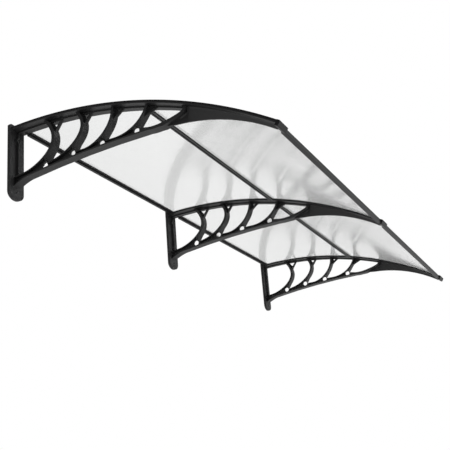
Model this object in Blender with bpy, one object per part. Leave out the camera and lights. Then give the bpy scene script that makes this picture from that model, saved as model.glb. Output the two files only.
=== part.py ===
"""Door canopy: three moulded brackets carry two arched polycarbonate sheets, with bars, strips and caps.

Units are metres, +Z is up, the wall is the plane Y = 0 and the canopy reaches out towards -Y.
Profiles are drawn as (reach, height): the reach is counted out from the wall, the height up from the
lower wall screws. The origin is on the middle bracket's wall face, half way between its two screws.
"""
import bpy
import bmesh
from math import asin, cos, hypot, pi, sin, sqrt, tan
from mathutils import Vector

# Brackets: how far apart, and the wall plate with its rib, boss and tab
BRACKET_SPACING = 0.967
SEAT_GAP = 0.0003
PLATE_WIDTH = 0.066
PLATE_THICKNESS = 0.010
PLATE_TOP = 0.2185
PLATE_CHAMFER = 0.005
TAB_START = -0.002
TAB_LENGTH = 0.0242
PLATE_RIB_DEPTH = 0.0074
WALL_SCREW_SPACING = 0.169
WALL_HOLE_DIAMETER = 0.006
BOSS_DIAMETER = 0.017

# The roof line is an arc, given by the reach and height of its highest point and its radius. The bottom
# flange and the nose follow arcs of their own, given by their depths under the roof line
ROOF_APEX = (0.1063, 0.2011)
ROOF_RADIUS = 1.4151
BRACKET_REACH = 0.8727
FOOT_START = 0.062
FOOT_START_DEPTH = 0.1651
FOOT_BEND = 0.044
FOOT_HEIGHT = 0.014
SOLE_MIDDLE = 0.300
SOLE_MIDDLE_DEPTH = 0.12585
SOLE_END = 0.532
SOLE_END_DEPTH = 0.0658
NOSE_START = 0.570
NOSE_START_DEPTH = 0.0551
NOSE_MIDDLE_DEPTH = 0.0203
NOSE_TIP_DEPTH = 0.0089

# The bracket's section
FLANGE_WIDTH = 0.057
FLANGE_THICKNESS = 0.0038
SOLE_WIDTH = 0.0315
SOLE_THICKNESS = 0.005
SOLE_BLEND = (0.021, 0.006)
WEB_THICKNESS = 0.005
WEB_RIB_DEPTH = 0.004
STRUT_WIDTH = 0.0304
BRACE_WIDTH = 0.012
BRACE_DEPTH = 0.0035
RIM_THICKNESS = 0.0035
OVERLAP = 0.002
BAY_LAP = 0.0015
ROOT_HOLE_DIAMETER = 0.020
FOOT_CORNER = (0.010, 0.024)
FOOT_INNER = 0.003
FOOT_RUN = 0.010
BAY_MARGIN = 0.0035
BAY_CORNER = 0.004
RIM_MARGIN = 0.007
ARC_STEPS = 18
CURVE_STEPS = 9
FOOT_STEPS = 6
CEILING_STEPS = 4
TAB_STEPS = 16
ROUND_SIDES = 20
SMALL_SIDES = 10

# Each C-shaped strut. Its back edge is a Bezier curve from the top flange to its root, with control
# points (reach, share of the height between the flanges). A short brace leaves its front edge at "notch"
# under the flange, meets the flange at "brace" and leaves a gap in the web that reaches down to "gap".
# The hole through its root is given by its reach and its height over the bottom flange
STRUTS = (
    {"back": ((0.122, 1.0), (0.202, 0.43), (0.098, 0.09), (0.038, 0.11)), "thickness": 0.0112,
     "hole": (0.1174, 0.0188), "notch": 0.0410, "brace": 0.1877, "gap": 0.0240},
    {"back": ((0.239, 1.0), (0.290, 0.59), (0.218, 0.16), (0.157, 0.12)), "thickness": 0.0102,
     "hole": (0.2173, 0.0200), "notch": 0.0375, "brace": 0.2922, "gap": 0.0180},
    {"back": ((0.364, 1.0), (0.362, 0.41), (0.305, 0.05), (0.255, 0.10)), "thickness": 0.0080,
     "hole": (0.3200, 0.0154), "notch": 0.0365, "brace": 0.4028, "gap": 0.0125},
    {"back": ((0.479, 1.0), (0.461, 0.39), (0.421, 0.07), (0.359, 0.11)), "thickness": 0.0068,
     "hole": (0.4385, 0.0165), "notch": 0.0355, "brace": 0.5135, "gap": 0.0},
)
CRESCENT = {"back": ((0.594, 1.0), (0.616, 0.62), (0.535, -0.03), (0.473, 0.14)), "thickness": 0.0097}
STRUT_HEAD_SHARE = 0.3
GAP_MARGIN = 0.005
GAP_BELOW_FLANGE = 0.006

# Sheets, cover strips and the screws that clamp them
SHEET_THICKNESS = 0.0028
SHEET_EDGE_MARGIN = 0.003
STRIP_THICKNESS = 0.0023
STRIP_CHAMFER = 0.0008
SCREW_COUNT = 5
SCREW_FIRST_REACH = 0.060
SCREW_END_MARGIN = 0.0377
SCREW_SHANK_DIAMETER = 0.003
SCREW_HEAD_DIAMETER = 0.0075
SCREW_HEAD_HEIGHT = 0.0022
SCREW_TOP_DIAMETER = 0.0052
SCREW_TIP_DIAMETER = 0.0015
SCREW_BITE = 0.007
SCREW_SIDES = 8

# Cross bars: hollow sections that slide over spigots moulded on the brackets
BAR_WALL = 0.0015
SPIGOT_LENGTH = 0.022
SPIGOT_ROOT = 0.012
REAR_BAR_REACH = 0.0257
REAR_BAR_DEPTH = 0.0163
REAR_BAR_STEP = 0.0049
REAR_BAR_LEDGE = 0.0073
REAR_BAR_LIP = 0.0100
MID_BAR_REACH = 0.467
MID_BAR_WIDTH = 0.0185
MID_BAR_HEIGHT = 0.0060
MID_BAR_WALL = 0.0010
MID_GROOVE_WIDTH = 0.0046
MID_GROOVE_DEPTH = 0.0014
FRONT_BAR_DEPTH = 0.0125
FRONT_BAR_HEIGHT = 0.0088
FRONT_BAR_ROOF = 0.0018
FRONT_LIP_THICKNESS = 0.0017
FRONT_LIP_RISE = 0.0010

# Caps on the brackets' noses
CAP_DEPTH = 0.0115
CAP_RISE = 0.0010
CAP_DROP = 0.0070
CAP_ROUNDING = 0.0035
CAP_CORNER_STEPS = 4

# Levels above the underside of the top flange
SHEET_LEVEL = FLANGE_THICKNESS + SEAT_GAP
SHEET_TOP = SHEET_LEVEL + SHEET_THICKNESS
STRIP_LEVEL = SHEET_TOP + SEAT_GAP
STRIP_TOP = STRIP_LEVEL + STRIP_THICKNESS

PLATE_RIB_REACH = PLATE_THICKNESS + PLATE_RIB_DEPTH
ORIGIN_HEIGHT = WALL_SCREW_SPACING / 2
BRACKETS = {"left": -BRACKET_SPACING, "middle": 0.0, "right": BRACKET_SPACING}
BAR_SIDES = {"left": (1,), "middle": (-1, 1), "right": (-1,)}


def arc_height(apex, radius, reach):
    """Height at a reach of a circular arc that falls away on both sides of its apex."""
    return apex[1] - radius + sqrt(radius ** 2 - (reach - apex[0]) ** 2)


def roof(reach):
    """Underside of the top flange."""
    return arc_height(ROOF_APEX, ROOF_RADIUS, reach)


def depth_point(reach, depth):
    """Point straight under the roof line."""
    return reach, roof(reach) - depth


def arc_through(first, second, third):
    """Highest point and radius of the arc through three (reach, height) points."""
    ax, ay = second[0] - first[0], second[1] - first[1]
    bx, by = third[0] - first[0], third[1] - first[1]
    a, b = ax ** 2 + ay ** 2, bx ** 2 + by ** 2
    turn = 2 * (ax * by - ay * bx)
    reach, height = (by * a - ay * b) / turn, (ax * b - bx * a) / turn
    radius = hypot(reach, height)
    return (first[0] + reach, first[1] + height + radius), radius


SOLE_ARC = arc_through(depth_point(FOOT_START, FOOT_START_DEPTH), depth_point(SOLE_MIDDLE, SOLE_MIDDLE_DEPTH),
                       depth_point(SOLE_END, SOLE_END_DEPTH))


def sole(reach):
    """Underside of the bottom flange."""
    return arc_height(*SOLE_ARC, reach)


def roof_angle(reach, level):
    """Angle on the roof arc at which a point at this level above it has the given reach."""
    return asin((reach - ROOF_APEX[0]) / (ROOF_RADIUS + level))


def roof_point(angle, level):
    """Point at an angle on the roof arc and a level above it."""
    radius = ROOF_RADIUS + level
    return ROOF_APEX[0] + radius * sin(angle), ROOF_APEX[1] - ROOF_RADIUS + radius * cos(angle)


def level_point(reach, level):
    """Point of the given reach on the arc at a level above the roof arc."""
    return roof_point(roof_angle(reach, level), level)


def nose_angle():
    """Angle on the roof arc where the top flange, the sheets and the cover strips end."""
    return roof_angle(BRACKET_REACH, STRIP_TOP)


def steps(start, end, count):
    """Evenly spaced values from start to end, both included."""
    return [start + (end - start) * i / count for i in range(count + 1)]


def bezier(points, t):
    """Point of a Bezier curve of any degree at the parameter t."""
    while len(points) > 1:
        points = [tuple(a + (b - a) * t for a, b in zip(p, q)) for p, q in zip(points, points[1:])]
    return points[0]


def shifted(outline, reach, height):
    """Copy of an outline moved by a reach and a height."""
    return [(point[0] + reach, point[1] + height) for point in outline]


def new_object(name, vertices, faces):
    """Closed mesh object with its faces turned outwards, linked to the scene."""
    mesh = bpy.data.meshes.new(name)
    mesh.from_pydata(vertices, [], faces)
    shape = bmesh.new()
    shape.from_mesh(mesh)
    bmesh.ops.remove_doubles(shape, verts=shape.verts, dist=1e-6)
    bmesh.ops.recalc_face_normals(shape, faces=shape.faces)
    shape.to_mesh(mesh)
    shape.free()
    obj = bpy.data.objects.new(name, mesh)
    bpy.context.scene.collection.objects.link(obj)
    return obj


def loft(name, rings):
    """Solid through a row of rings with equal numbers of points, closed at both ends."""
    count = len(rings[0])
    vertices = [point for ring in rings for point in ring]
    last = len(vertices) - count
    faces = [tuple(range(count)), tuple(range(last, last + count))]
    for start in range(0, last, count):
        for i in range(count):
            j = (i + 1) % count
            faces.append((start + i, start + j, start + count + j, start + count + i))
    return new_object(name, vertices, faces)


def prism(name, outline, left, right):
    """Solid with a (reach, height) outline between X = left and X = right."""
    return loft(name, [[(x, -reach, height) for reach, height in outline] for x in (left, right)])


def slab(name, outline, width):
    """Prism centred on the bracket's middle plane."""
    return prism(name, outline, -width / 2, width / 2)


def arched(name, section, first, last):
    """Sweep a section of (x, level) points along the roof arc between two angles."""
    rings = []
    for angle in steps(first, last, ARC_STEPS):
        ring = []
        for x, level in section:
            reach, height = roof_point(angle, level)
            ring.append((x, -reach, height))
        rings.append(ring)
    return loft(name, rings)


def cylinder(name, diameter, start, end, sides=ROUND_SIDES):
    """Round solid between two points."""
    start, end = Vector(start), Vector(end)
    turn = (end - start).to_track_quat("Z", "Y").to_matrix()
    rings = []
    for centre in (start, end):
        ring = []
        for i in range(sides):
            angle = 2 * pi * (i + 0.5) / sides
            ring.append(centre + turn @ Vector((cos(angle), sin(angle), 0)) * diameter / 2)
        rings.append(ring)
    return loft(name, rings)


def combine(base, tools, operation, solver="EXACT"):
    """Apply one Boolean operation with each tool in turn and remove the tools."""
    for tool in tools:
        modifier = base.modifiers.new(tool.name, "BOOLEAN")
        modifier.operation = operation
        modifier.solver = solver
        modifier.object = tool
    depsgraph = bpy.context.evaluated_depsgraph_get()
    mesh = bpy.data.meshes.new_from_object(base.evaluated_get(depsgraph))
    base.modifiers.clear()
    base.data = mesh
    for tool in tools:
        bpy.data.objects.remove(tool)
    return base


def back_point(strut, t):
    """Point of a strut's back edge, from the top flange at 0 to the root at 1."""
    reach, share = bezier(strut["back"], t)
    return reach, sole(reach) + share * (roof(reach) - sole(reach))


def edge_point(strut, t, thickness):
    """Point at a thickness in front of the strut's back edge, never above the middle of the flange."""
    before, after = back_point(strut, t - 0.001), back_point(strut, t + 0.001)
    along = (after[0] - before[0], after[1] - before[1])
    length = hypot(*along)
    reach, height = back_point(strut, t)
    reach -= along[1] / length * thickness
    height += along[0] / length * thickness
    return reach, min(height, roof(reach) + OVERLAP)


def strut_parameters(strut, thickness, limit):
    """Parameters down an edge of the strut: its head, then as far as its reach stays over a limit."""
    values = steps(0, 1, 2 * CURVE_STEPS)
    return [t for t in values if t < STRUT_HEAD_SHARE or edge_point(strut, t, thickness)[0] > limit]


def hole_centre(strut):
    """Centre of the hole through the strut's root."""
    reach, height = strut["hole"]
    return reach, sole(reach) + height


def past_hole(strut, margin):
    """Reach at a margin in front of the hole through the strut's root."""
    return strut["hole"][0] + ROOT_HOLE_DIAMETER / 2 + margin


def height_on(line, reach):
    """Height of a line where it first passes a reach."""
    for (reach_a, height_a), (reach_b, height_b) in zip(line, line[1:]):
        if reach_a != reach_b and min(reach_a, reach_b) <= reach <= max(reach_a, reach_b):
            return height_a + (height_b - height_a) * (reach - reach_a) / (reach_b - reach_a)
    return line[-1][1]


def front_line(strut):
    """Front edge of a strut: straight from its foot, clear of the hole, then up to the top flange."""
    reach = strut["hole"][0] + FOOT_CORNER[0]
    thickness = strut["thickness"]
    parameters = strut_parameters(strut, thickness, past_hole(strut, FOOT_RUN))
    edge = [edge_point(strut, t, thickness) for t in parameters]
    return [(reach, sole(reach) + FOOT_CORNER[1])] + edge[::-1]


def root_line(strut, end, thickness=0.0):
    """Back edge of a strut from the top flange to its root, carried on straight to a given reach."""
    line = [edge_point(strut, t, thickness) for t in steps(0, 1, CURVE_STEPS * 2)]
    (reach_a, height_a), (reach_b, height_b) = line[-2:]
    slope = (height_b - height_a) / (reach_b - reach_a)
    line.append((end, height_b + slope * (end - reach_b)))
    return line


def strut_outline(strut, root_end):
    """Solid C on top that ends over the hole, with a thin rim that runs back along the root."""
    inner = strut["hole"][0] + FOOT_INNER
    rim = root_line(strut, root_end, RIM_THICKNESS)[::-1]
    below = [point for point in rim[:-(CURVE_STEPS // 2)] if point[0] < inner]
    top = [(strut["back"][0][0] - OVERLAP / 2, roof(strut["back"][0][0]) + OVERLAP)]
    return top + root_line(strut, root_end) + below + [(inner, height_on(rim, inner))] + front_line(strut)


def front_point(strut, drop):
    """Point of the strut's front edge at a depth below the top flange."""
    edge = front_line(strut)[::-1]
    for above, below in zip(edge, edge[1:]):
        drop_above = roof(above[0]) - above[1]
        drop_below = roof(below[0]) - below[1]
        if drop_above <= drop < drop_below:
            share = (drop - drop_above) / (drop_below - drop_above)
            return above[0] + (below[0] - above[0]) * share, above[1] + (below[1] - above[1]) * share
    return edge[0]


def brace_reach(strut, drop):
    """Inner edge of a strut's brace at a depth below the top flange."""
    foot = front_point(strut, strut["notch"])[0]
    return strut["brace"] + (foot - strut["brace"]) * drop / strut["notch"] - BRACE_DEPTH


def brace_outline(strut):
    """Short bar from the strut's front edge up to the top flange."""
    notch = front_point(strut, strut["notch"])
    head = strut["brace"]
    return [(notch[0] - BRACE_DEPTH, notch[1]), notch, (head, roof(head) + OVERLAP),
            (head - BRACE_DEPTH, roof(head) + OVERLAP)]


def gap_outline(strut):
    """Triangular gap in the web between a strut and its brace, point down."""
    drop = strut["gap"]
    left = front_point(strut, GAP_BELOW_FLANGE)[0] + GAP_MARGIN
    right = brace_reach(strut, GAP_BELOW_FLANGE) - GAP_MARGIN
    low = (front_point(strut, drop)[0] + brace_reach(strut, drop)) / 2
    return [depth_point(low, drop), depth_point(right, GAP_BELOW_FLANGE), depth_point(left, GAP_BELOW_FLANGE)]


def sole_line():
    """Underside of the bottom flange from inside the wall plate to the crescent."""
    foot_controls = [(PLATE_THICKNESS - OVERLAP, FOOT_HEIGHT), (FOOT_BEND, sole(FOOT_BEND)),
                     (FOOT_START, sole(FOOT_START))]
    foot = [bezier(foot_controls, t) for t in steps(0, 1, FOOT_STEPS)]
    arc = [(reach, sole(reach)) for reach in steps(FOOT_START, SOLE_END, ARC_STEPS // 2)]
    return foot + arc[1:]


def sole_outline():
    """Bottom flange, ending where the crescent has peeled away from it."""
    line = sole_line()
    end = (SOLE_END + SOLE_BLEND[0], sole(SOLE_END) + SOLE_BLEND[1])
    return line + [end] + shifted(line, 0, SOLE_THICKNESS)[::-1]


def nose_line():
    """Underside of the nose, from the crescent to the lower corner of its end."""
    tip = roof_point(nose_angle(), -NOSE_TIP_DEPTH)
    middle = depth_point((NOSE_START + tip[0]) / 2, NOSE_MIDDLE_DEPTH)
    arc = arc_through(depth_point(NOSE_START, NOSE_START_DEPTH), middle, tip)
    return [(reach, arc_height(*arc, reach)) for reach in steps(NOSE_START, tip[0], ARC_STEPS // 2)]


def web_outline():
    """Thin web over the whole bracket before its bays are cut."""
    end = roof_point(nose_angle(), OVERLAP)[0]
    top = [(reach, roof(reach) + OVERLAP) for reach in steps(end, PLATE_THICKNESS / 2, ARC_STEPS)]
    return shifted(sole_line(), 0, SOLE_THICKNESS / 2) + nose_line() + top


def bay_outline(rear, back):
    """Open bay between a rear boundary that goes up and a strut's back edge that goes down."""
    ceiling = []
    for reach in steps(rear[-1][0], back[0][0], CEILING_STEPS):
        ceiling.append((reach, roof(reach) - WEB_RIB_DEPTH))
    below = [point for point in rear if point[1] < roof(point[0]) - WEB_RIB_DEPTH - OVERLAP / 2]
    ahead = [point for point in back if point[1] < roof(point[0]) - WEB_RIB_DEPTH - OVERLAP / 2]
    return below + ceiling + ahead


def bay_outlines():
    """The five bays, each a little larger than the opening so that the struts cover the cut edge."""
    rear = [(PLATE_RIB_REACH, FOOT_HEIGHT), (PLATE_RIB_REACH, roof(PLATE_RIB_REACH))]
    outlines = []
    end = PLATE_RIB_REACH
    for strut in STRUTS + (CRESCENT,):
        back = shifted(root_line(strut, end), BAY_LAP, -BAY_LAP)
        if not outlines:
            rear[0] = (PLATE_RIB_REACH, back[-1][1])
            back = back[:-1]
        else:
            foot = back[-1][0]
            rise = height_on(back, foot + BAY_CORNER) + BAY_LAP
            back[-1:] = [(foot + BAY_CORNER, rise), (foot, rise + BAY_CORNER)]
        outlines.append(bay_outline(rear, back))
        if strut is not CRESCENT:
            edge = past_hole(strut, BAY_MARGIN)
            corner = (edge, height_on(front_line(strut), edge))
            notch = front_point(strut, strut["notch"])
            front = [point for point in front_line(strut)[1:] if point[1] < notch[1]]
            brace = depth_point(strut["brace"], 0)
            rear = shifted([corner] + front + [notch, brace], -BAY_LAP, 0)
            end = edge - 2 * BAY_LAP
    return outlines


def plate_outline():
    """Front view of the wall plate: cut top corners and a rounded tab below."""
    half, top = PLATE_WIDTH / 2, PLATE_TOP - PLATE_CHAMFER
    shoulder = half - PLATE_CHAMFER
    tab = [(half * cos(angle), TAB_START + TAB_LENGTH * sin(angle)) for angle in steps(-pi, 0, TAB_STEPS)]
    return tab + [(half, top), (shoulder, PLATE_TOP), (-shoulder, PLATE_TOP), (-half, top)]


def wall_plate():
    """Plate against the wall, with the boss of the upper screw."""
    rings = [[(x, y, z) for x, z in plate_outline()] for y in (0, -PLATE_THICKNESS)]
    plate = loft("wall_plate", rings)
    boss = cylinder("boss", BOSS_DIAMETER, (0, -PLATE_THICKNESS / 2, WALL_SCREW_SPACING),
                    (0, -PLATE_RIB_REACH, WALL_SCREW_SPACING))
    return [plate, boss]


def rear_bar_outline():
    """Stepped section with a groove for the sheets' rear edges."""
    back, front = REAR_BAR_REACH, REAR_BAR_REACH + REAR_BAR_DEPTH
    step = front - REAR_BAR_LEDGE
    groove = back + BAR_WALL
    lip = back + REAR_BAR_LIP
    under = level_point(front, FLANGE_THICKNESS)[1]
    low = under - 2 * REAR_BAR_STEP
    over = level_point(groove, STRIP_LEVEL)[1]
    ledge = low + REAR_BAR_STEP
    below = [(back, low), (step, low), (step, ledge), (front, ledge), (front, under)]
    return below + [level_point(groove, FLANGE_THICKNESS), (groove, over), level_point(lip, STRIP_LEVEL),
                    level_point(lip, STRIP_LEVEL + BAR_WALL), (back, over + BAR_WALL)]


def rear_bar_cavity():
    """Hollow of the rear bar that takes the spigots."""
    high = level_point(REAR_BAR_REACH, FLANGE_THICKNESS)[1] - BAR_WALL
    low = level_point(REAR_BAR_REACH + REAR_BAR_DEPTH, FLANGE_THICKNESS)[1] - 2 * REAR_BAR_STEP + BAR_WALL
    back = REAR_BAR_REACH + BAR_WALL
    front = REAR_BAR_REACH + REAR_BAR_DEPTH - REAR_BAR_LEDGE - BAR_WALL
    return [(back, low), (front, low), (front, high), (back, high)]


def mid_bar_point(offset, level):
    """Point of the middle bar's section, square to the sheets above it."""
    middle = roof_angle(MID_BAR_REACH, FLANGE_THICKNESS)
    reach, height = roof_point(middle, FLANGE_THICKNESS + level)
    return reach + offset * cos(middle), height - offset * sin(middle)


def mid_bar_outline():
    """Flat section with a shallow groove along its underside."""
    half, groove = MID_BAR_WIDTH / 2, MID_GROOVE_WIDTH / 2
    points = [(-half, 0), (-half, -MID_BAR_HEIGHT), (-groove, -MID_BAR_HEIGHT),
              (-groove, MID_GROOVE_DEPTH - MID_BAR_HEIGHT), (groove, MID_GROOVE_DEPTH - MID_BAR_HEIGHT),
              (groove, -MID_BAR_HEIGHT), (half, -MID_BAR_HEIGHT), (half, 0)]
    return [mid_bar_point(offset, level) for offset, level in points]


def mid_bar_cavity():
    """Hollow of the middle bar above its groove."""
    half = MID_BAR_WIDTH / 2 - BAR_WALL
    low = MID_GROOVE_DEPTH + MID_BAR_WALL - MID_BAR_HEIGHT
    corners = (-half, low), (half, low), (half, -MID_BAR_WALL), (-half, -MID_BAR_WALL)
    return [mid_bar_point(offset, level) for offset, level in corners]


def cap_corner():
    """Upper rear corner of a tip cap and its angle on the roof arc."""
    angle = nose_angle() + SEAT_GAP / ROOF_RADIUS
    return Vector(roof_point(angle, STRIP_TOP + CAP_RISE)), angle


def cap_back(height):
    """Reach of a tip cap's rear face at a height."""
    corner, angle = cap_corner()
    return corner.x - (corner.y - height) * tan(angle)


def front_bar_lip():
    """Corner of the front bar where its lip stands up in front of the sheets."""
    return level_point(roof_point(nose_angle(), SHEET_TOP)[0] + SEAT_GAP, FLANGE_THICKNESS)


def front_bar_outline():
    """Section whose top slopes with the sheets, with a lip in front of their edges."""
    lip, shelf = front_bar_lip()
    front = lip + FRONT_LIP_THICKNESS
    back = front - FRONT_BAR_DEPTH
    bottom = shelf - FRONT_BAR_HEIGHT
    lip_top = level_point(lip, SHEET_TOP)[1] + FRONT_LIP_RISE
    return [(back, bottom), (front, bottom), (front, lip_top), (lip, lip_top), (lip, shelf),
            level_point(back, FLANGE_THICKNESS)]


def front_bar_cavity():
    """Hollow of the front bar under its sloping top, in line with the tip caps."""
    lip, shelf = front_bar_lip()
    front = lip + FRONT_LIP_THICKNESS - BAR_WALL
    low = shelf - FRONT_BAR_HEIGHT + BAR_WALL
    high = shelf - FRONT_BAR_ROOF
    return [(cap_back(low) + BAR_WALL, low), (front, low), (front, high), (cap_back(high) + BAR_WALL, high)]


def inset(outline, distance):
    """Convex outline moved inwards by a distance."""
    count = len(outline)
    area = sum(a[0] * b[1] - b[0] * a[1] for a, b in zip(outline, outline[1:] + outline[:1]))
    turn = 1 if area > 0 else -1
    moved = []
    for i, here in enumerate(outline):
        before, after = outline[i - 1], outline[(i + 1) % count]
        first = Vector(here) - Vector(before)
        second = Vector(after) - Vector(here)
        normal = Vector((-first.y, first.x)).normalized() + Vector((-second.y, second.x)).normalized()
        moved.append(tuple(Vector(here) + normal * turn * distance * 2 / normal.length_squared))
    return moved


BARS = {"rear_bar": (rear_bar_outline, rear_bar_cavity), "mid_bar": (mid_bar_outline, mid_bar_cavity),
        "front_bar": (front_bar_outline, front_bar_cavity)}


def spigots(side_name, bars):
    """Pegs that plug into the ends of the named bars, on the sides that have a sheet."""
    pegs = []
    for side in BAR_SIDES[side_name]:
        near = side * (FLANGE_WIDTH / 2 - SPIGOT_ROOT)
        far = side * (FLANGE_WIDTH / 2 + SPIGOT_LENGTH)
        for name in bars:
            outline = inset(BARS[name][1](), SEAT_GAP)
            pegs.append(prism(f"{name}_spigot", outline, min(near, far), max(near, far)))
    return pegs


def screw_angles():
    """Places of the cover strip's screws along the arc."""
    first, last = roof_angle(SCREW_FIRST_REACH, 0), roof_angle(BRACKET_REACH - SCREW_END_MARGIN, 0)
    return steps(first, last, SCREW_COUNT - 1)


def screw_holes(diameter, low, high):
    """Cutters for the screws between two levels."""
    cutters = []
    for angle in screw_angles():
        ends = [(0, -reach, height) for reach, height in (roof_point(angle, low), roof_point(angle, high))]
        cutters.append(cylinder("screw_hole", diameter, *ends, sides=SCREW_SIDES))
    return cutters


def bracket(side_name, material):
    """One moulded bracket: web, flanges, C-struts with their braces, wall plate and spigots.

    Many of its shapes end in the same planes, where the exact solver drops faces, so all of its
    Booleans use the manifold solver.
    """
    body = slab(f"bracket_{side_name}", web_outline(), WEB_THICKNESS)
    holes = [slab("bay", outline, WEB_THICKNESS * 2) for outline in bay_outlines()]
    combine(body, holes, "DIFFERENCE", "MANIFOLD")
    half = FLANGE_WIDTH / 2
    flange = [(-half, 0), (half, 0), (half, FLANGE_THICKNESS), (-half, FLANGE_THICKNESS)]
    first = roof_angle(PLATE_THICKNESS - OVERLAP, 0)
    last = nose_angle()
    additions = [arched("flange", flange, first, last), slab("sole", sole_outline(), SOLE_WIDTH)]
    additions += wall_plate()
    root_end = PLATE_THICKNESS - OVERLAP
    for strut in STRUTS:
        additions.append(slab("strut", strut_outline(strut, root_end), STRUT_WIDTH))
        additions.append(slab("brace", brace_outline(strut), BRACE_WIDTH))
        root_end = past_hole(strut, RIM_MARGIN)
    back = root_line(CRESCENT, root_end)
    front = root_line(CRESCENT, root_end, CRESCENT["thickness"])
    additions.append(slab("crescent", back + front[::-1], SOLE_WIDTH))
    additions += spigots(side_name, ("rear_bar", "mid_bar"))
    combine(body, additions, "UNION", "MANIFOLD")
    cutters = []
    for strut in STRUTS:
        reach, height = hole_centre(strut)
        ends = (-WEB_THICKNESS, -reach, height), (WEB_THICKNESS, -reach, height)
        cutters.append(cylinder("root_hole", ROOT_HOLE_DIAMETER, *ends))
        if strut["gap"]:
            cutters.append(slab("gap", gap_outline(strut), FLANGE_WIDTH))
    for height in (0, WALL_SCREW_SPACING):
        ends = (0, OVERLAP, height), (0, -PLATE_RIB_REACH * 2, height)
        cutters.append(cylinder("wall_hole", WALL_HOLE_DIAMETER, *ends, sides=SMALL_SIDES))
    depth = STRIP_TOP - SCREW_BITE - STRIP_THICKNESS - SHEET_THICKNESS
    cutters += screw_holes(SCREW_SHANK_DIAMETER + 2 * SEAT_GAP, depth - SEAT_GAP, FLANGE_THICKNESS * 2)
    combine(body, cutters, "DIFFERENCE", "MANIFOLD")
    return finish(body, material, BRACKETS[side_name])


def finish(obj, material, x=0.0):
    """Give an object its material and its place under the canopy's frame."""
    obj.data.materials.clear()
    obj.data.materials.append(material)
    obj.data.shade_smooth()
    obj.data.set_sharp_from_angle(angle=pi / 6)
    obj.parent = CANOPY
    obj.location.x = x
    return obj


def sheet(name, side, material):
    """One arched sheet between two brackets, held in the rear and front bars."""
    near, far = SHEET_EDGE_MARGIN, BRACKET_SPACING - SHEET_EDGE_MARGIN
    section = [(near, SHEET_LEVEL), (far, SHEET_LEVEL), (far, SHEET_TOP), (near, SHEET_TOP)]
    section = [(side * x, level) for x, level in section]
    first = roof_angle(REAR_BAR_REACH + BAR_WALL + SEAT_GAP, SHEET_TOP)
    return finish(arched(name, section, first, nose_angle()), material)


def cover_strip(side_name, material):
    """Strip over the sheets' edges; the outer ones are rebated and stand on the flange."""
    half, edge = FLANGE_WIDTH / 2, STRIP_TOP - STRIP_CHAMFER
    shoulder = half - STRIP_CHAMFER
    top = [(half, edge), (shoulder, STRIP_TOP), (-shoulder, STRIP_TOP), (-half, edge)]
    if side_name == "middle":
        section = [(-half, STRIP_LEVEL), (half, STRIP_LEVEL)] + top
    else:
        section = [(-half, STRIP_LEVEL), (SHEET_EDGE_MARGIN, STRIP_LEVEL), (SHEET_EDGE_MARGIN, SHEET_LEVEL),
                   (half, SHEET_LEVEL)] + top
    if side_name == "left":
        section = [(-x, level) for x, level in section]
    first = roof_angle(PLATE_THICKNESS + SEAT_GAP, STRIP_TOP)
    strip = arched(f"cover_strip_{side_name}", section, first, nose_angle())
    combine(strip, screw_holes(SCREW_SHANK_DIAMETER + 2 * SEAT_GAP, 0, STRIP_TOP * 2), "DIFFERENCE")
    return finish(strip, material, BRACKETS[side_name])


def screw(name, material, x, angle):
    """Pan-head screw through the cover strip into the bracket."""
    shank, head = SCREW_SHANK_DIAMETER / 2, SCREW_HEAD_DIAMETER / 2
    tip = STRIP_TOP - STRIP_THICKNESS - SHEET_THICKNESS - SCREW_BITE
    seat = STRIP_TOP + SEAT_GAP
    top = seat + SCREW_HEAD_HEIGHT
    profile = [(SCREW_TIP_DIAMETER / 2, tip), (shank, tip + shank), (shank, seat), (head, seat),
               (head, (seat + top) / 2), (SCREW_TOP_DIAMETER / 2, top)]
    rings = []
    for radius, level in profile:
        turns = [2 * pi * i / SCREW_SIDES for i in range(SCREW_SIDES)]
        rings.append([(radius * cos(turn), radius * sin(turn), level) for turn in turns])
    obj = finish(loft(name, rings), material, x)
    reach, height = roof_point(angle, 0)
    obj.location.y, obj.location.z = -reach, height
    obj.rotation_euler.x = angle
    return obj


def cross_bar(name, outline, cavity, side, material):
    """Hollow bar between the flanges of two neighbouring brackets."""
    end = FLANGE_WIDTH / 2 + SEAT_GAP
    near, far = sorted((side * end, side * (BRACKET_SPACING - end)))
    bar = prism(name, outline, near, far)
    combine(bar, [prism("cavity", cavity, near - end, far + end)], "DIFFERENCE")
    return finish(bar, material)


def tip_cap(side_name, material):
    """Rounded block across the nose, square to the arc, with spigots for the front bars."""
    corner, angle = cap_corner()
    outwards = Vector((cos(angle), -sin(angle)))
    up = Vector((sin(angle), cos(angle)))
    height = STRIP_TOP + CAP_RISE + CAP_DROP
    outline = [corner, corner - up * height]
    lower = corner + outwards * (CAP_DEPTH - CAP_ROUNDING) - up * (height - CAP_ROUNDING)
    upper = corner + outwards * (CAP_DEPTH - CAP_ROUNDING) - up * CAP_ROUNDING
    for centre, start in ((lower, -pi / 2), (upper, 0)):
        for turn in steps(start, start + pi / 2, CAP_CORNER_STEPS):
            outline.append(centre + (outwards * cos(turn) + up * sin(turn)) * CAP_ROUNDING)
    cap = slab(f"tip_cap_{side_name}", [tuple(point) for point in outline], FLANGE_WIDTH)
    combine(cap, spigots(side_name, ("front_bar",)), "UNION")
    return finish(cap, material, BRACKETS[side_name])


def principled(name, color, roughness, metallic=0.0, alpha=1.0):
    """Material with a plain Principled BSDF."""
    material = bpy.data.materials.new(name)
    material.use_nodes = True
    shader = material.node_tree.nodes["Principled BSDF"]
    shader.inputs["Base Color"].default_value = (*color, 1)
    shader.inputs["Roughness"].default_value = roughness
    shader.inputs["Metallic"].default_value = metallic
    shader.inputs["Alpha"].default_value = alpha
    return material


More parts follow.
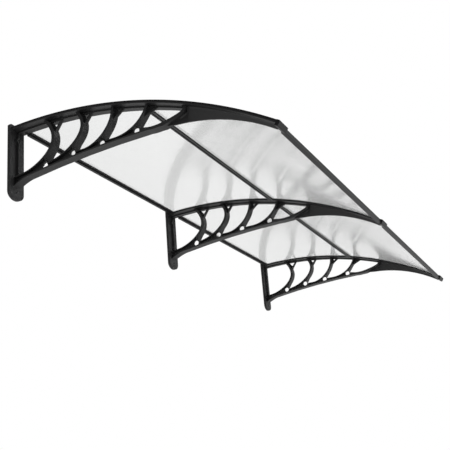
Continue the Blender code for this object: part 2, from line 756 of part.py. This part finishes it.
def build():
    """Model every piece of the canopy."""
    moulded = principled("black moulded plastic", (0.022, 0.022, 0.022), 0.45)
    strip_black = principled("black strip plastic", (0.015, 0.015, 0.015), 0.4)
    clear = principled("polycarbonate", (0.86, 0.88, 0.88), 0.05, alpha=0.35)
    aluminium = principled("grey aluminium", (0.08, 0.08, 0.085), 0.4, 0.6)
    steel = principled("screw steel", (0.55, 0.55, 0.55), 0.35, 1.0)
    for side_name, x in BRACKETS.items():
        bracket(side_name, moulded)
        cover_strip(side_name, strip_black)
        tip_cap(side_name, strip_black)
        for number, angle in enumerate(screw_angles(), start=1):
            screw(f"strip_screw_{side_name}_{number}", steel, x, angle)
    for side_name, side in (("left", -1), ("right", 1)):
        sheet(f"sheet_{side_name}", side, clear)
        for name, (outline, cavity) in BARS.items():
            cross_bar(f"{name}_{side_name}", outline(), cavity(), side, aluminium)


for old in list(bpy.data.objects):
    bpy.data.objects.remove(old)
CANOPY = bpy.data.objects.new("canopy", None)
bpy.context.scene.collection.objects.link(CANOPY)
CANOPY.location.z = -ORIGIN_HEIGHT
build()
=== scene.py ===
"""Looks of a wall-mounted door canopy with black moulded brackets and clear curved sheets."""
from math import asin, cos, pi, radians, sin

import bmesh
import bpy
from mathutils import Matrix, Quaternion, Vector


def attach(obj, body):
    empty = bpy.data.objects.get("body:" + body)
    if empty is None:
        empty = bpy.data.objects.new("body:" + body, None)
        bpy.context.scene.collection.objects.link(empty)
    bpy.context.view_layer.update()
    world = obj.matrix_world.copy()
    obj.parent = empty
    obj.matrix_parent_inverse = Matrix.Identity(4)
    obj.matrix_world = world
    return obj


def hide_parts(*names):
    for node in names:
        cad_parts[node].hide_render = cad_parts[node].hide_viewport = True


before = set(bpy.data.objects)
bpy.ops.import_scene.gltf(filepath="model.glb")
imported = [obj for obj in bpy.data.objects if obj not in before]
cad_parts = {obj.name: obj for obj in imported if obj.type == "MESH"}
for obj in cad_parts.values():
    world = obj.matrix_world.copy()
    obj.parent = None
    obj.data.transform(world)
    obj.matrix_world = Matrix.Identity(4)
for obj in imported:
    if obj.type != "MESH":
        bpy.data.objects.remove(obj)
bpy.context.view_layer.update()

# Camera. It stands below the canopy, in front of it and to its left, and leans a few degrees to one side,
# as in the photograph
CAMERA_AIM = Vector((0.0, -0.2482, 0.0253))
CAMERA_AZIMUTH = radians(-65.437)
CAMERA_ELEVATION = radians(-18.904)
CAMERA_DISTANCE = 3.2722
CAMERA_ROLL = radians(-4.656)
CAMERA_LENS = 66.16
CAMERA_SENSOR = 36
CAMERA_FAR_END = 100

bpy.ops.object.camera_add()
camera = bpy.context.object
camera.name = "photo_camera"
camera.data.lens = CAMERA_LENS
camera.data.sensor_width = CAMERA_SENSOR
camera.data.clip_end = CAMERA_FAR_END
turn = Quaternion((0, 0, 1), CAMERA_AZIMUTH) @ Quaternion((1, 0, 0), -CAMERA_ELEVATION)
sight = turn @ Vector((0, 1, 0))
camera.location = CAMERA_AIM - sight * CAMERA_DISTANCE
camera.rotation_mode = "QUATERNION"
camera.rotation_quaternion = sight.to_track_quat("-Z", "Y") @ Quaternion((0, 0, 1), CAMERA_ROLL)
bpy.context.scene.camera = camera
bpy.context.scene.view_settings.view_transform = "Standard"

# Studio. A white backdrop stands behind the canopy, with a pale floor at the height of a doorstep, a dimmer
# screen at the front and two soft lamps. The camera sees the room as white, also through clear plastic, and
# only mirrored light comes from its darker parts
BACKDROP_SIDE = (0.86, 0.50, 0.10)
BACKDROP_EDGES = (0.62, 0.90)
SCREEN_SIDE = (0.84, -0.42, 0.34)
SCREEN_EDGES = (0.70, 0.95)
SCREEN_LIGHT = 0.55
HORIZON_EDGES = (0.0, 0.20)
ROOM_LIGHT = 0.25
FLOOR_LEVEL = -2.2
FLOOR_REACH = 0.4
FLOOR_EXTENT = 60.0
FLOOR_COLOR = (0.80, 0.80, 0.79, 1)
FLOOR_ROUGHNESS = 0.9
FLOOR_GLOSS = 0.1
FLOOR_FADE = (1.5, 6.0)
FLOOR_NEAR_SHARE = 0.62
FLOOR_GLOW = 0.15
LAMPS = (
    ("top_lamp", (-1.4, -3.6, 3.6), 3.0, 60.0),
    ("low_lamp", (-1.1, -4.2, -1.0), 1.8, 56.0),
)


class Wire:
    """An output of a node. Arithmetic done with it adds Math nodes."""

    def __init__(self, finish, socket):
        self.finish = finish
        self.socket = socket

    def math(self, operation, first, second):
        return self.finish.node("ShaderNodeMath", {"operation": operation}, {0: first, 1: second})

    def __add__(self, other):
        return self.math("ADD", self, other)

    def __radd__(self, other):
        return self.math("ADD", other, self)

    def __sub__(self, other):
        return self.math("SUBTRACT", self, other)

    def __rsub__(self, other):
        return self.math("SUBTRACT", other, self)

    def __mul__(self, other):
        return self.math("MULTIPLY", self, other)

    def __rmul__(self, other):
        return self.math("MULTIPLY", other, self)


class Finish:
    """A node tree. One method adds any node, with its settings first and then its inputs."""

    def __init__(self, tree):
        self.tree = tree
        self.shader = tree.nodes.get("Principled BSDF")

    def node(self, kind, settings=None, inputs=None, output=0):
        node = self.tree.nodes.new(kind)
        for name, value in (settings or {}).items():
            setattr(node, name, value)
        for name, value in (inputs or {}).items():
            self.feed(node, name, value)
        return Wire(self, node.outputs[output]) if node.outputs else node

    def feed(self, node, name, value):
        if isinstance(value, Wire):
            self.tree.links.new(value.socket, node.inputs[name])
        else:
            node.inputs[name].default_value = value

    def smooth_step(self, value, start, end, low, high):
        """A value that goes smoothly from low to high while another goes from start to end."""
        return self.node("ShaderNodeMapRange", {"interpolation_type": "SMOOTHSTEP"},
                         {"Value": value, "From Min": start, "From Max": end, "To Min": low, "To Max": high})

    def larger(self, first, second):
        """The larger of two values."""
        return self.node("ShaderNodeMath", {"operation": "MAXIMUM"}, {0: first, 1: second})

    def blend(self, share, first, second):
        """A colour between two colours."""
        return self.node("ShaderNodeMix", {"data_type": "RGBA"}, {0: share, 6: first, 7: second}, 2)

    def relief(self, height, strength, depth):
        """The normal of a finely uneven surface."""
        return self.node("ShaderNodeBump", {},
                         {"Strength": strength, "Distance": depth, "Height": height}, "Normal")


world = bpy.data.worlds.new("studio")
bpy.context.scene.world = world
world.use_nodes = True
world.node_tree.nodes.clear()
studio = Finish(world.node_tree)
direction = studio.node("ShaderNodeTexCoord", output="Generated")
behind = studio.node("ShaderNodeVectorMath", {"operation": "DOT_PRODUCT"},
                     {0: direction, 1: BACKDROP_SIDE}, "Value")
ahead = studio.node("ShaderNodeVectorMath", {"operation": "DOT_PRODUCT"},
                    {0: direction, 1: SCREEN_SIDE}, "Value")
height = studio.node("ShaderNodeSeparateXYZ", inputs={0: direction}, output="Z")
backdrop_glow = studio.smooth_step(behind, *BACKDROP_EDGES, ROOM_LIGHT, 1.0)
screen_glow = studio.smooth_step(ahead, *SCREEN_EDGES, ROOM_LIGHT, SCREEN_LIGHT)
horizon_glow = studio.smooth_step(height, *HORIZON_EDGES, 1.0, ROOM_LIGHT)
glow = studio.larger(studio.larger(backdrop_glow, screen_glow), horizon_glow)
seen = studio.node("ShaderNodeLightPath", output="Is Camera Ray")
seen_through = studio.node("ShaderNodeLightPath", output="Is Transmission Ray")
white = studio.larger(seen, seen_through)
strength = white + (1 - white) * glow
backdrop = studio.node("ShaderNodeBackground", inputs={"Color": (1, 1, 1, 1), "Strength": strength})
studio.node("ShaderNodeOutputWorld", inputs={"Surface": backdrop})

bpy.ops.mesh.primitive_plane_add(size=FLOOR_EXTENT, location=(0, -FLOOR_REACH, FLOOR_LEVEL))
bpy.ops.object.transform_apply(location=True, rotation=True, scale=True)
floor = bpy.context.object
floor.name = "floor"
pale = bpy.data.materials.new("pale_floor")
pale.use_nodes = True
floor.data.materials.append(pale)
ground = Finish(pale.node_tree)
ground.feed(ground.shader, "Base Color", FLOOR_COLOR)
ground.feed(ground.shader, "Roughness", FLOOR_ROUGHNESS)
ground.feed(ground.shader, "Specular IOR Level", FLOOR_GLOSS)
where = ground.node("ShaderNodeTexCoord", output="Object")
away = ground.node("ShaderNodeVectorMath", {"operation": "LENGTH"}, {0: where}, "Value")
whiteness = ground.smooth_step(away, FLOOR_FADE[0] - FLOOR_LEVEL, FLOOR_FADE[1] - FLOOR_LEVEL,
                               FLOOR_NEAR_SHARE, 1.0)
seen = ground.node("ShaderNodeLightPath", output="Is Camera Ray")
mirrored = ground.node("ShaderNodeLightPath", output="Is Glossy Ray")
seen_through = ground.node("ShaderNodeLightPath", output="Is Transmission Ray")
watched = ground.larger(ground.larger(seen, mirrored), seen_through)
shining = ground.node("ShaderNodeEmission", inputs={"Color": (1, 1, 1, 1), "Strength": 1.0})
lit = Wire(ground, ground.shader.outputs[0])
share = ground.larger(watched * whiteness, FLOOR_GLOW)
mixed = ground.node("ShaderNodeMixShader", inputs={0: share, 1: lit, 2: shining})
ground.feed(pale.node_tree.nodes["Material Output"], "Surface", mixed)

for name, spot, size, power in LAMPS:
    bpy.ops.object.light_add(type="AREA", location=spot)
    lamp = bpy.context.object
    lamp.name = name
    lamp.data.shape = "DISK"
    lamp.data.size = size
    lamp.data.energy = power
    lamp.rotation_euler = (CAMERA_AIM - lamp.location).to_track_quat("-Z", "Y").to_euler()

# Brackets. Each is one black plastic moulding: a wall plate, arched flanges, a thin web and four C-shaped
# struts with short braces. It leaves the mould with rounded edges and a fine grain, and light comes through
# the hole in the root of each strut. Its rounded edges are painted a little lighter, a painted highlight
BRACKET_SPACING = 0.967
BRACKET_ROUNDING = 0.0005
ROOF_REACH = 0.1063
ROOF_RADIUS = 1.4151
ROOF_HEIGHT = 0.2011
WALL_SCREW_HEIGHT = 0.0845
ROOF_CENTRE = Vector((0.0, -ROOF_REACH, ROOF_HEIGHT - ROOF_RADIUS - WALL_SCREW_HEIGHT))
NOSE_START = 0.575
NOSE_END = 0.868
NOSE_DEPTH = 0.0551
NOSE_CUTS = 24
NOSE_SPREAD = 3.6
NOSE_FILLET = 0.005
FILLET_SEGMENTS = 4
WEB_RANGE = 0.004
WEB_FACING = 0.99
UNDERSIDE_FACING = 0.5
UNDERSIDE_TWIST = 0.2
END_FACING = 0.9
FLANGE_SKIN = 0.0005
ROOT_HOLES = ((0.1174, -0.02249), (0.2173, -0.00967), (0.3200, -0.00579), (0.4385, 0.00074))
HOLE_RADIUS = 0.0100
HOLE_SIDES = 48
HOLE_CLEARANCE = (0.0026, 0.0190)
HOLE_LEAN = (0.0, 0.0075, 0.0062)
MERGE_DISTANCE = 0.0003
FLAT_ANGLE = radians(1)
SHARP_ANGLE = radians(35)
MOULD_GLOSS = 0.40
MOULD_TONES = ((0.0125, 0.0125, 0.0130, 1), (0.0230, 0.0230, 0.0235, 1))
GRAIN_SCALE = 1500.0
GRAIN_DEPTH = 0.00006
FLOW_SCALE = 22.0


def pick_only(piece):
    """Select one piece and nothing else, and make it the active one."""
    bpy.ops.object.select_all(action="DESELECT")
    piece.select_set(True)
    bpy.context.view_layer.objects.active = piece


def copy_of(node, name):
    """Copy of one of the part's solids, with its loose triangles merged and its flat faces made whole."""
    piece = bpy.data.objects.new(name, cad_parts[node].data.copy())
    bpy.context.scene.collection.objects.link(piece)
    pick_only(piece)
    bpy.ops.object.mode_set(mode="EDIT")
    bpy.ops.mesh.select_all(action="SELECT")
    bpy.ops.mesh.remove_doubles(threshold=MERGE_DISTANCE)
    bpy.ops.mesh.customdata_custom_splitnormals_clear()
    bpy.ops.mesh.mark_sharp(clear=True)
    bpy.ops.mesh.dissolve_limited(angle_limit=FLAT_ANGLE)
    bpy.ops.object.mode_set(mode="OBJECT")
    return piece


def round_edges(piece, width, segments=2):
    """Round a piece's edges, note on each face whether it belongs to a rounded edge, and shade it smooth."""
    pick_only(piece)
    piece.data.materials.clear()
    piece.data.materials.append(None)
    piece.data.materials.append(None)
    for polygon in piece.data.polygons:
        polygon.material_index = 0
    bevel = piece.modifiers.new("rounding", "BEVEL")
    bevel.width = width
    bevel.segments = segments
    bevel.limit_method = "ANGLE"
    bevel.angle_limit = SHARP_ANGLE
    bevel.use_clamp_overlap = False
    bevel.material = 1
    bpy.ops.object.modifier_apply(modifier=bevel.name)
    # The faces of the rounded edges are noted, so that the materials can paint a highlight along them
    edge_highlight_mask = piece.data.attributes.new("rounded_edge", "FLOAT", "CORNER")
    for polygon in piece.data.polygons:
        for corner in polygon.loop_indices:
            edge_highlight_mask.data[corner].value = polygon.material_index
        polygon.material_index = 0
    bpy.ops.object.shade_smooth_by_angle(angle=SHARP_ANGLE)
    level = piece.modifiers.new("flat_faces", "WEIGHTED_NORMAL")
    level.keep_sharp = True
    bpy.ops.object.modifier_apply(modifier=level.name)


def place_piece(piece, material, solid):
    """Give a piece its material, let it ride on the canopy and hide the solid that it stands for."""
    piece.data.materials.clear()
    piece.data.materials.append(material)
    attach(piece, "root")
    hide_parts(solid)


def new_material(name, constants):
    """New material whose shader has these constant values, and its nodes."""
    material = bpy.data.materials.new(name)
    material.use_nodes = True
    finish = Finish(material.node_tree)
    for socket, value in constants.items():
        finish.feed(finish.shader, socket, value)
    return material, finish


moulded_black, nodes = new_material("moulded_black_grain", {"Specular IOR Level": MOULD_GLOSS})
where = nodes.node("ShaderNodeTexCoord", output="Object")
grain = nodes.node("ShaderNodeTexNoise", {}, {"Vector": where, "Scale": GRAIN_SCALE, "Detail": 3.0}, "Fac")
flow = nodes.node("ShaderNodeTexNoise", {}, {"Vector": where, "Scale": FLOW_SCALE, "Detail": 4.0}, "Fac")
edge = nodes.node("ShaderNodeAttribute", {"attribute_name": "rounded_edge"}, output="Fac")
# Flow marks vary the tone at random, and the rounded edges are painted lighter, a painted highlight
nodes.feed(nodes.shader, "Base Color", nodes.blend(0.35 * flow + 0.4 * edge, *MOULD_TONES))
nodes.feed(nodes.shader, "Roughness", 0.42 + 0.08 * grain + 0.08 * flow - 0.06 * edge)
nodes.feed(nodes.shader, "Normal", nodes.relief(grain, 0.35, GRAIN_DEPTH))


def pick_faces(piece, test):
    """Select the faces of the piece in edit mode whose centre and normal pass a test."""
    bpy.ops.mesh.select_all(action="DESELECT")
    shape = bmesh.from_edit_mesh(piece.data)
    for face in shape.faces:
        if test(face.calc_center_median(), face.normal):
            face.select_set(True)
    bmesh.update_edit_mesh(piece.data)


def spread_nose(piece, middle):
    """Thicken the nose's web from its lower edge up to the top flange, and fillet it against the flange."""
    def on_web(centre, normal):
        sideways = abs(normal.x) > WEB_FACING and abs(centre.x - middle) < WEB_RANGE
        return sideways and centre.y < -NOSE_START

    pick_only(piece)
    bpy.ops.object.mode_set(mode="EDIT")
    for step in range(NOSE_CUTS):
        pick_faces(piece, on_web)
        cut = -NOSE_START - (NOSE_END - NOSE_START) * (step + 0.5) / NOSE_CUTS
        bpy.ops.mesh.bisect(plane_co=(0, cut, 0), plane_no=(0, 1, 0))
    shape = bmesh.from_edit_mesh(piece.data)
    web = {face for face in shape.faces if on_web(face.calc_center_median(), face.normal)}
    for corner in {corner for face in web for corner in face.verts}:
        reach = -corner.co.y
        depth = ROOF_CENTRE.z + (ROOF_RADIUS ** 2 - (reach - ROOF_REACH) ** 2) ** 0.5 - corner.co.z
        under = any(face.normal.z < -UNDERSIDE_FACING and abs(face.normal.x) < UNDERSIDE_TWIST
                    for face in corner.link_faces)
        share = 1 - depth / NOSE_DEPTH
        if under and depth > FLANGE_SKIN and reach > NOSE_START:
            share = 0
        corner.co.x += (corner.co.x - middle) * NOSE_SPREAD * max(share, 0)
    weight = shape.edges.layers.float.new("bevel_weight_edge")
    for line in shape.edges:
        inside = [face for face in line.link_faces if face in web]
        if len(inside) == 1 and not line.is_convex:
            line[weight] = 1
    bmesh.update_edit_mesh(piece.data)
    bpy.ops.object.mode_set(mode="OBJECT")
    fillet = piece.modifiers.new("fillet", "BEVEL")
    fillet.width = NOSE_FILLET
    fillet.segments = FILLET_SEGMENTS
    fillet.limit_method = "WEIGHT"
    fillet.use_clamp_overlap = False
    bpy.ops.object.modifier_apply(modifier=fillet.name)


def clear_hole(piece, middle, reach, level):
    """Clear the strut's foot and rim away beyond a root hole, so that light comes through the hole."""
    start = Vector((middle + HOLE_CLEARANCE[0], -reach, level))
    length = HOLE_CLEARANCE[1] - HOLE_CLEARANCE[0]
    bpy.ops.mesh.primitive_cylinder_add(vertices=HOLE_SIDES, radius=HOLE_RADIUS, depth=length,
                                        location=start + Vector((length / 2, 0, 0)), rotation=(0, pi / 2, 0))
    cutter = bpy.context.object
    pick_only(cutter)
    bpy.ops.object.transform_apply(location=True, rotation=True, scale=True)
    bpy.ops.object.mode_set(mode="EDIT")
    pick_faces(cutter, lambda centre, normal: normal.x > END_FACING)
    bpy.ops.transform.translate(value=HOLE_LEAN)
    bpy.ops.object.mode_set(mode="OBJECT")
    pick_only(piece)
    cut = piece.modifiers.new("clear_hole", "BOOLEAN")
    cut.operation = "DIFFERENCE"
    cut.solver = "MANIFOLD"
    cut.object = cutter
    bpy.ops.object.modifier_apply(modifier=cut.name)
    bpy.data.objects.remove(cutter)


for side, sign in (("left", -1), ("middle", 0), ("right", 1)):
    moulding = copy_of(f"bracket_{side}", f"moulding_{side}")
    middle = sign * BRACKET_SPACING
    for reach, level in ROOT_HOLES:
        clear_hole(moulding, middle, reach, level)
    spread_nose(moulding, middle)
    round_edges(moulding, BRACKET_ROUNDING)
    place_piece(moulding, moulded_black, f"bracket_{side}")

# Cross bars. Three hollow extrusions of aluminium with a dark grey coat slide over the brackets' pegs on
# each side. The coat shows the faint lines of the die, which run along each bar. The groove is painted
# nearly black as painted shade, and the rounded edges get a painted highlight
BAR_ROUNDING = 0.00035
BAR_GLOSS = 0.18
BAR_TONES = ((0.009, 0.009, 0.0095, 1), (0.021, 0.021, 0.022, 1))
GROOVE_PAINTED_SHADE = (0.001, 0.001, 0.001, 1)
DIE_LINES = (2.0, 1400.0, 1400.0)
SPECK_SCALE = 2500.0
SPECK_DEPTH = 0.00005
GROOVE_REACH = 0.4657
GROOVE_HALF_WIDTH = 0.0027

bar_grey, nodes = new_material("dark_grey_coat", {"Specular IOR Level": BAR_GLOSS})
where = nodes.node("ShaderNodeTexCoord", output="Object")
along = nodes.node("ShaderNodeMapping", {}, {"Vector": where, "Scale": DIE_LINES})
lines = nodes.node("ShaderNodeTexNoise", {}, {"Vector": along, "Scale": 1.0, "Detail": 2.0}, "Fac")
specks = nodes.node("ShaderNodeTexNoise", {}, {"Vector": where, "Scale": SPECK_SCALE, "Detail": 1.0}, "Fac")
edge = nodes.node("ShaderNodeAttribute", {"attribute_name": "rounded_edge"}, output="Fac")
groove = nodes.node("ShaderNodeAttribute", {"attribute_name": "groove"}, output="Fac")
# The die lines vary the coat's tone, and the rounded edges are painted lighter, a painted highlight
coat = nodes.blend(0.5 * lines + 0.4 * edge, *BAR_TONES)
# The groove is painted nearly black, painted shade in the recess
nodes.feed(nodes.shader, "Base Color", nodes.blend(groove, coat, GROOVE_PAINTED_SHADE))
nodes.feed(nodes.shader, "Roughness", 0.34 + 0.10 * lines + 0.05 * specks + 0.45 * groove)
nodes.feed(nodes.shader, "Normal", nodes.relief(0.6 * lines + 0.4 * specks, 0.25, SPECK_DEPTH))

for bar in ("rear_bar", "mid_bar", "front_bar"):
    for side in ("left", "right"):
        profile = copy_of(f"{bar}_{side}", f"{bar}_profile_{side}")
        round_edges(profile, BAR_ROUNDING)
        # Faces along the groove are marked, and the coat paints them nearly black as painted shade
        painted_groove_shade = profile.data.attributes.new("groove", "FLOAT", "CORNER")
        for polygon in profile.data.polygons:
            inside = abs(polygon.center.y + GROOVE_REACH) < GROOVE_HALF_WIDTH
            for corner in polygon.loop_indices:
                painted_groove_shade.data[corner].value = inside
        place_piece(profile, bar_grey, f"{bar}_{side}")

# Clear sheets. Two panels of clear polycarbonate, bent cold over the brackets' arc, so that they keep a
# faint wave. They lie on the flanges, and their ends stand in the rear and front bars
BRACKET_REACH = 0.8727
SHEET_MARGIN = 0.003
SHEET_LEVELS = (0.0041, 0.0069)
SHEET_REAR_REACH = 0.0275
STRIP_LEVELS = (0.0072, 0.0095)
SHEET_STEPS = 96
SHEET_ROUNDING = 0.0004
MERGED_SEAM = 0.000001
SHEET_TINT = (0.864, 0.869, 0.865, 1)
SHEET_INDEX = 1.42
WAVE_SCALE = 7.0
WAVE_DEPTH = 0.004
SMEAR_SCALE = 40.0


def roof_angle(reach, level):
    """Angle on the roof's arc at which a point at this level over the flange's underside has a reach."""
    return asin((reach - ROOF_REACH) / (ROOF_RADIUS + level))


def start_section(name, left, right, levels, angle):
    """Flat face across the arc at an angle, between two X and two levels, ready to be spun."""
    low, high = levels
    middle = ROOF_RADIUS + (low + high) / 2
    place = ROOF_CENTRE + Vector(((left + right) / 2, -middle * sin(angle), middle * cos(angle)))
    bpy.ops.mesh.primitive_plane_add(size=1, location=place, rotation=(angle + pi / 2, 0, 0))
    piece = bpy.context.object
    piece.name = name
    piece.scale = (right - left, high - low, 1)
    pick_only(piece)
    bpy.ops.object.transform_apply(location=True, rotation=True, scale=True)
    return piece


def spin_section(piece, first, last, steps):
    """Sweep a piece's faces along the roof's arc into a closed solid."""
    pick_only(piece)
    bpy.ops.object.mode_set(mode="EDIT")
    bpy.ops.mesh.select_all(action="SELECT")
    bpy.ops.mesh.spin(steps=steps, angle=last - first, center=ROOF_CENTRE, axis=(-1, 0, 0))
    bpy.ops.mesh.select_all(action="SELECT")
    bpy.ops.mesh.remove_doubles(threshold=MERGED_SEAM)
    bpy.ops.mesh.normals_make_consistent(inside=False)
    bpy.ops.object.mode_set(mode="OBJECT")


clear, nodes = new_material("clear_polycarbonate", {
    "Base Color": SHEET_TINT, "IOR": SHEET_INDEX, "Transmission Weight": 1.0})
where = nodes.node("ShaderNodeTexCoord", output="Object")
wave = nodes.node("ShaderNodeTexNoise", {}, {"Vector": where, "Scale": WAVE_SCALE, "Detail": 1.0}, "Fac")
smear = nodes.node("ShaderNodeTexNoise", {}, {"Vector": where, "Scale": SMEAR_SCALE, "Detail": 5.0}, "Fac")
nodes.feed(nodes.shader, "Roughness", 0.10 + 0.04 * smear)
nodes.feed(nodes.shader, "Normal", nodes.relief(wave, 0.1, WAVE_DEPTH))

tip_angle = roof_angle(BRACKET_REACH, STRIP_LEVELS[1])
for side, sign in (("left", -1), ("right", 1)):
    first = roof_angle(SHEET_REAR_REACH, SHEET_LEVELS[1])
    ends = sorted((sign * SHEET_MARGIN, sign * (BRACKET_SPACING - SHEET_MARGIN)))
    panel = start_section(f"panel_{side}", *ends, SHEET_LEVELS, first)
    spin_section(panel, first, tip_angle, SHEET_STEPS)
    round_edges(panel, SHEET_ROUNDING)
    place_piece(panel, clear, f"sheet_{side}")

# Cover strips. Smooth black plastic strips cover the joints and ends of the sheets and are bent over the
# same arc. The outer two have a foot that stands on the flange beside the sheet
STRIP_HALF_WIDTH = 0.0285
STRIP_REAR_REACH = 0.0103
STRIP_ROUNDING = 0.0007
STRIP_STEPS = 72
STRIP_SEGMENTS = 3
STRIP_GLOSS = 0.25
STRIP_TONES = ((0.0040, 0.0040, 0.0042, 1), (0.0100, 0.0100, 0.0104, 1))
STRIP_LINES = (1300.0, 1.5, 1.5)
STRIP_LINE_DEPTH = 0.00005
DUST_SCALE = 60.0
FOOT_TOLERANCE = 0.0005

strip_black, nodes = new_material("black_strip_satin", {"Specular IOR Level": STRIP_GLOSS})
where = nodes.node("ShaderNodeTexCoord", output="Object")
along = nodes.node("ShaderNodeMapping", {}, {"Vector": where, "Scale": STRIP_LINES})
lines = nodes.node("ShaderNodeTexNoise", {}, {"Vector": along, "Scale": 1.0, "Detail": 2.0}, "Fac")
dust = nodes.node("ShaderNodeTexNoise", {}, {"Vector": where, "Scale": DUST_SCALE, "Detail": 5.0}, "Fac")
edge = nodes.node("ShaderNodeAttribute", {"attribute_name": "rounded_edge"}, output="Fac")
# Lines and dust vary the tone; the rounded edges are painted lighter, a painted highlight
nodes.feed(nodes.shader, "Base Color", nodes.blend(0.3 * lines + 0.3 * dust + 0.3 * edge, *STRIP_TONES))
nodes.feed(nodes.shader, "Roughness", 0.36 + 0.10 * lines + 0.08 * dust)
nodes.feed(nodes.shader, "Normal", nodes.relief(lines, 0.3, STRIP_LINE_DEPTH))

for side, sign in (("left", -1), ("middle", 0), ("right", 1)):
    centre = sign * BRACKET_SPACING
    first = roof_angle(STRIP_REAR_REACH, STRIP_LEVELS[1])
    ends = centre - STRIP_HALF_WIDTH, centre + STRIP_HALF_WIDTH
    strip = start_section(f"strip_{side}", *ends, STRIP_LEVELS, first)
    if sign:
        heel = centre - sign * SHEET_MARGIN
        bpy.ops.object.mode_set(mode="EDIT")
        bpy.ops.mesh.select_all(action="SELECT")
        bpy.ops.mesh.bisect(plane_co=(heel, 0, 0), plane_no=(1, 0, 0))
        bpy.ops.mesh.select_all(action="DESELECT")
        face = bmesh.from_edit_mesh(strip.data)
        radial = Vector((0, -sin(first), cos(first)))
        for line in face.edges:
            middle = (line.verts[0].co + line.verts[1].co) / 2
            low = (middle - ROOF_CENTRE).dot(radial) < ROOF_RADIUS + STRIP_LEVELS[0] + FOOT_TOLERANCE
            if low and (middle.x - heel) * sign > FOOT_TOLERANCE:
                line.select_set(True)
        bmesh.update_edit_mesh(strip.data)
        drop = (SHEET_LEVELS[0] - STRIP_LEVELS[0]) * radial
        bpy.ops.mesh.extrude_region_move(TRANSFORM_OT_translate={"value": drop})
        bpy.ops.object.mode_set(mode="OBJECT")
    spin_section(strip, first, tip_angle, STRIP_STEPS)
    round_edges(strip, STRIP_ROUNDING, STRIP_SEGMENTS)
    place_piece(strip, strip_black, f"cover_strip_{side}")

# Strip screws. Five zinc-plated pan-head screws hold each cover strip. Each has a cross recess and a plain
# shank that goes through the strip and the gap between the sheets into the bracket's flange
SCREW_HEAD_RADIUS = 0.00375
SCREW_RIM_HEIGHT = 0.0011
SCREW_SHANK_RADIUS = 0.0015
SCREW_LENGTH = 0.0124
SCREW_SEAT = 0.0098
SCREW_END_MARGIN = 0.0377
SCREW_REACHES = (0.060, BRACKET_REACH - SCREW_END_MARGIN)
SCREW_COUNT = 5
SCREW_SIDES = 28
SCREW_SHARP_ANGLE = radians(30)
DOME_RINGS = ((0.00035, 0.00050), (0.00070, 0.00040), (0.00100, 0.00020))
RECESS_SIZE = (0.0040, 0.00085, 0.0026)
RECESS_TAPER = 0.45
STEEL_TONES = ((0.42, 0.43, 0.44, 1), (0.66, 0.66, 0.64, 1))
PLATING_SCALE = 900.0

bpy.ops.mesh.primitive_cylinder_add(vertices=SCREW_SIDES, radius=SCREW_HEAD_RADIUS, depth=SCREW_RIM_HEIGHT,
                                    location=(0, 0, SCREW_RIM_HEIGHT / 2))
screw = bpy.context.object
pick_only(screw)
bpy.ops.object.transform_apply(location=True, rotation=True, scale=True)
bpy.ops.object.mode_set(mode="EDIT")
pick_faces(screw, lambda centre, normal: normal.z > END_FACING)
for inwards, upwards in DOME_RINGS:
    bpy.ops.mesh.inset(thickness=inwards, depth=upwards)
pick_faces(screw, lambda centre, normal: normal.z < -END_FACING)
bpy.ops.mesh.inset(thickness=SCREW_HEAD_RADIUS - SCREW_SHANK_RADIUS, depth=0)
bpy.ops.mesh.extrude_region_move(TRANSFORM_OT_translate={"value": (0, 0, SCREW_SHANK_RADIUS - SCREW_LENGTH)})
bpy.ops.mesh.inset(thickness=SCREW_SHANK_RADIUS / 2, depth=SCREW_SHANK_RADIUS)
bpy.ops.object.mode_set(mode="OBJECT")
for quarter in (0, 1):
    bpy.ops.mesh.primitive_cube_add(size=1, location=(0, 0, SCREW_RIM_HEIGHT * 2),
                                    rotation=(0, 0, quarter * pi / 2))
    cutter = bpy.context.object
    cutter.scale = RECESS_SIZE
    pick_only(cutter)
    bpy.ops.object.transform_apply(location=True, rotation=True, scale=True)
    bpy.ops.object.mode_set(mode="EDIT")
    pick_faces(cutter, lambda centre, normal: normal.z < -END_FACING)
    bpy.ops.transform.resize(value=(RECESS_TAPER, RECESS_TAPER, 1), center_override=(0, 0, 0))
    bpy.ops.object.mode_set(mode="OBJECT")
    pick_only(screw)
    recess = screw.modifiers.new("recess", "BOOLEAN")
    recess.operation = "DIFFERENCE"
    recess.object = cutter
    bpy.ops.object.modifier_apply(modifier=recess.name)
    bpy.data.objects.remove(cutter)
bpy.ops.object.shade_smooth_by_angle(angle=SCREW_SHARP_ANGLE)

steel, nodes = new_material("zinc_plated_steel", {"Metallic": 1.0})
where = nodes.node("ShaderNodeTexCoord", output="Object")
plating = nodes.node("ShaderNodeTexNoise", {},
                     {"Vector": where, "Scale": PLATING_SCALE, "Detail": 4.0}, "Fac")
nodes.feed(nodes.shader, "Base Color", nodes.blend(plating, *STEEL_TONES))
nodes.feed(nodes.shader, "Roughness", 0.24 + 0.20 * plating)

first = roof_angle(SCREW_REACHES[0], 0)
last = roof_angle(SCREW_REACHES[1], 0)
for side, sign in (("left", -1), ("middle", 0), ("right", 1)):
    for number in range(SCREW_COUNT):
        angle = first + (last - first) * number / (SCREW_COUNT - 1)
        fixing = bpy.data.objects.new(f"pan_head_{side}_{number + 1}", screw.data.copy())
        bpy.context.scene.collection.objects.link(fixing)
        foot = ROOF_CENTRE + Vector((sign * BRACKET_SPACING, 0, 0))
        fixing.data.transform(Matrix.Translation(foot) @ Matrix.Rotation(angle, 4, "X")
                              @ Matrix.Translation((0, 0, ROOF_RADIUS + SCREW_SEAT)))
        place_piece(fixing, steel, f"strip_screw_{side}_{number + 1}")
bpy.data.objects.remove(screw)

# Tip caps. A rounded black block closes the nose of each bracket, the sheets and the strip, and holds the
# front bars on its pegs. It is moulded like the brackets and as smooth as the strips
CAP_ROUNDING = 0.0008
CAP_SEGMENTS = 3

for side in ("left", "middle", "right"):
    cap = copy_of(f"tip_cap_{side}", f"nose_cap_{side}")
    round_edges(cap, CAP_ROUNDING, CAP_SEGMENTS)
    place_piece(cap, strip_black, f"tip_cap_{side}")
